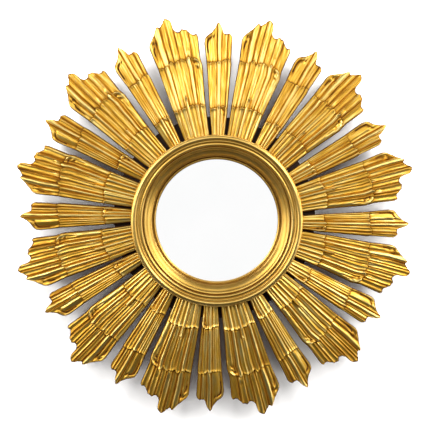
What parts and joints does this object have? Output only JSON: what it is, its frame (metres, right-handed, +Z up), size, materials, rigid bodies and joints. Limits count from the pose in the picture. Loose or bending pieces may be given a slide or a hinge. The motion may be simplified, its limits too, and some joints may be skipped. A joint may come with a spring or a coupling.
{
  "type": "sunburst wall mirror",
  "caption": "Round wall mirror in a moulded gilt ring, with wide and narrow reeded gilt rays standing around it by turns.",
  "frame": {"origin": "middle of the backing disc's flat back, on the wall", "axes": "+Z up, +X to the right as seen from the front, the mirror faces -Y and +Y points into the wall"},
  "size_m": [0.6808, 0.046, 0.6822],
  "materials": {
    "gilt_rays": "cast wood composition with antique gold leaf, rubbed on the crests, brown in the hollows",
    "gilt_ring": "burnished antique gold leaf on a turned moulding",
    "stained_wood": "dark brown stained board",
    "silvered_glass": "silvered plate glass with a polished edge"
  },
  "bodies": {
    "root": {"backing_disc": "stained_wood", "mirror_glass": "silvered_glass", "frame_ring": "gilt_ring", "wide_ray_01": "gilt_rays", "wide_ray_02": "gilt_rays", "wide_ray_03": "gilt_rays", "wide_ray_04": "gilt_rays", "wide_ray_05": "gilt_rays", "wide_ray_06": "gilt_rays", "wide_ray_07": "gilt_rays", "wide_ray_08": "gilt_rays", "wide_ray_09": "gilt_rays", "wide_ray_10": "gilt_rays", "wide_ray_11": "gilt_rays", "wide_ray_12": "gilt_rays", "narrow_ray_01": "gilt_rays", "narrow_ray_02": "gilt_rays", "narrow_ray_03": "gilt_rays", "narrow_ray_04": "gilt_rays", "narrow_ray_05": "gilt_rays", "narrow_ray_06": "gilt_rays", "narrow_ray_07": "gilt_rays", "narrow_ray_08": "gilt_rays", "narrow_ray_09": "gilt_rays", "narrow_ray_10": "gilt_rays", "narrow_ray_11": "gilt_rays", "narrow_ray_12": "gilt_rays"}
  },
  "joints": []
}
